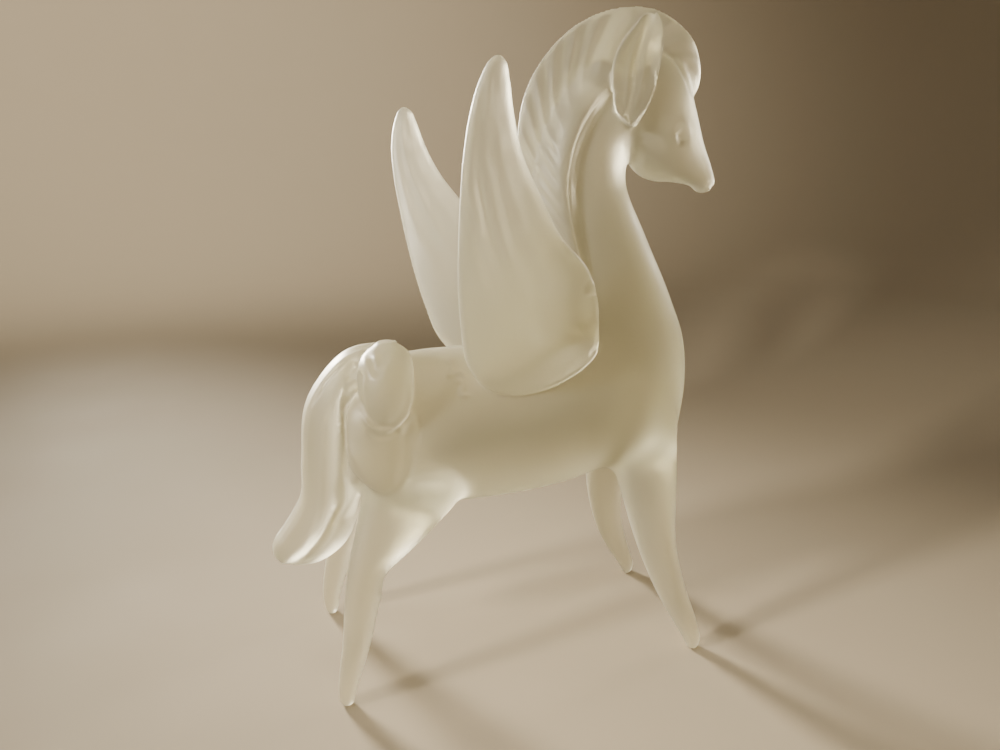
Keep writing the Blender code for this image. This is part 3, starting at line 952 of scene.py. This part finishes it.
# %% [markdown]
# ## Frosted glass
#
# The etched surface scatters light, and the glass below it is faintly olive: thin edges
# stay pale, and the thick barrel turns darker. A colour ramp would have to know how thick
# the glass is at each place. The renderer knows it already, because its rays cross the
# glass, so the shader lets most of the light through, and a volume absorbs it on its way.
# Both are set by plain values, and only the roughness and the bump vary over the surface.

# %% The glass, on the figure
frosted = uneven_material(
    "frosted_glass", (0.95, 0.92, 0.78), Size=0.006, Smoothest=0.4, Roughest=0.5, Height=0.06
)
tree = frosted.node_tree
shader = tree.nodes["Principled BSDF"]
shader.inputs["Transmission Weight"].default_value = 0.84
shader.inputs["IOR"].default_value = 1.5
absorb = tree.nodes.new("ShaderNodeVolumeAbsorption")
absorb.inputs["Color"].default_value = (0.74, 0.72, 0.45, 1)
absorb.inputs["Density"].default_value = 10.0
tree.links.new(absorb.outputs["Volume"], tree.nodes["Material Output"].inputs["Volume"])
thinned.materials.clear()
thinned.materials.append(frosted)
print("materials on the figure:", [material.name for material in thinned.materials])

# %% [markdown]
# ## Riding on the solid model
#
# The solid model carries the physics, and the looks ride on it.

# %% The piece tied to the solid
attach(pegasus, "root")
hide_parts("pegasus")
print("piece:", pegasus.name)

# %% [markdown]
# ## The studio
#
# Frosted glass shows what is round it, softly blurred, so the studio matters as much as
# the shader. A plane and a wall would meet in a hard line behind the figure. A cove of
# paper curves up from floor to wall in a quarter circle, and turned round the figure it
# has no corner from any side.

# %% A round cove of pale paper
FLOOR_RADIUS, BEND_RADIUS, WALL_TOP = 0.75, 0.45, 1.6
flat = np.array([0.05, 0.3, 0.6])
bend = np.linspace(0, pi / 2, 17)
wall_radius = FLOOR_RADIUS + BEND_RADIUS
cove_radius = np.concatenate([flat, FLOOR_RADIUS + BEND_RADIUS * np.sin(bend), [wall_radius]])
cove_height = np.concatenate([0 * flat, BEND_RADIUS * (1 - np.cos(bend)), [WALL_TOP]])
around = round_turns(96)
cove_grid = np.stack(
    [
        cove_radius[:, None] * np.cos(around),
        cove_radius[:, None] * np.sin(around),
        cove_height[:, None] + 0 * around,
    ],
    axis=2,
)
index = np.arange(cove_grid[..., 0].size).reshape(len(cove_radius), len(around))
centre = index[0, ::-1].tolist()
cove_mesh = bpy.data.meshes.new("cove")
cove_mesh.from_pydata(cove_grid.reshape(-1, 3).tolist(), [], bands(index) + [centre])
cove_mesh.shade_smooth()
cove = bpy.data.objects.new("cove", cove_mesh)
bpy.context.scene.collection.objects.link(cove)
paper = uneven_material(
    "pale_paper", (0.37, 0.31, 0.225), Size=0.05, Smoothest=0.8, Roughest=0.85, Height=0.0
)
cove_mesh.materials.append(paper)
print("cove, m across:", round(2 * wall_radius, 2), " high:", WALL_TOP)

# %% [markdown]
# ## Light
#
# Glass is lit from behind and from the side, so that light travels through it and its
# rims glow. Area lamps would give soft light too, but they spill over the whole cove.
# Spot lamps whose light fades from the middle of the cone outwards keep the floor calm,
# and each one's radius sets how soft its shadow is. A dim warm world fills the rest.

# %% A dim world and six warm lamps
WARM = (1.0, 0.92, 0.76)
world = bpy.data.worlds.new("studio")
bpy.context.scene.world = world
world.use_nodes = True
world.node_tree.nodes["Background"].inputs["Color"].default_value = (0.97, 0.88, 0.72, 1)
world.node_tree.nodes["Background"].inputs["Strength"].default_value = 0.25


def lamp(name, place, target, radius, power, angle):
    """A spot lamp behind a diffuser, turned so that its -Z looks from place to target."""
    light = bpy.data.lights.new(name, "SPOT")
    light.shadow_soft_size = radius
    light.spot_size = radians(angle)
    light.spot_blend = 1.0
    light.energy = power
    light.color = WARM
    holder = bpy.data.objects.new(name, light)
    holder.location = place
    holder.rotation_euler = (Vector(target) - Vector(place)).to_track_quat("-Z", "Y").to_euler()
    bpy.context.scene.collection.objects.link(holder)


lamp("from behind on the left", (-0.42, 0.8, 0.3), (-0.02, 0, 0.12), radius=0.12, power=185, angle=32)
lamp("along the right side", (-0.8, -0.2, 0.42), (0, 0, 0.12), radius=0.06, power=44, angle=30)
lamp("on the far wing", (-0.45, -0.4, 0.3), (-0.024, 0.03, 0.142), radius=0.03, power=34, angle=9.5)
lamp("on the breast", (0.75, 0.3, 0.3), (0, 0, 0.12), radius=0.10, power=11, angle=30)
lamp("on the wall", (-0.2, 0.4, 0.85), (-0.25, 1.15, 0.3), radius=0.12, power=44, angle=125)
lamp("over everything", (-0.4, 0.1, 1.5), (0.1, 0.6, 0.1), radius=0.2, power=18, angle=110)
print("watts of all lamps:", round(sum(light.energy for light in bpy.data.lights)))

# %% [markdown]
# ## Camera
#
# The photograph was taken from close by and from a little above the middle, so the near
# wing looks large and upright lines run together downwards. A long lens from far off would
# frame the figure as well, but lose both. So the camera stands as close as the photograph
# was taken, with a short lens, and is turned down by 17 degrees.

# %% The camera
camera = bpy.data.cameras.new("camera")
camera.lens = 28
camera.sensor_width = 36
eye = bpy.data.objects.new("camera", camera)
eye.location = (-0.05437, -0.22672, 0.16421)
eye.rotation_euler = (radians(73), 0, radians(-14))
bpy.context.scene.collection.objects.link(eye)
bpy.context.scene.camera = eye
print("camera to the middle plane, mm:", round(-1000 * eye.location.y))
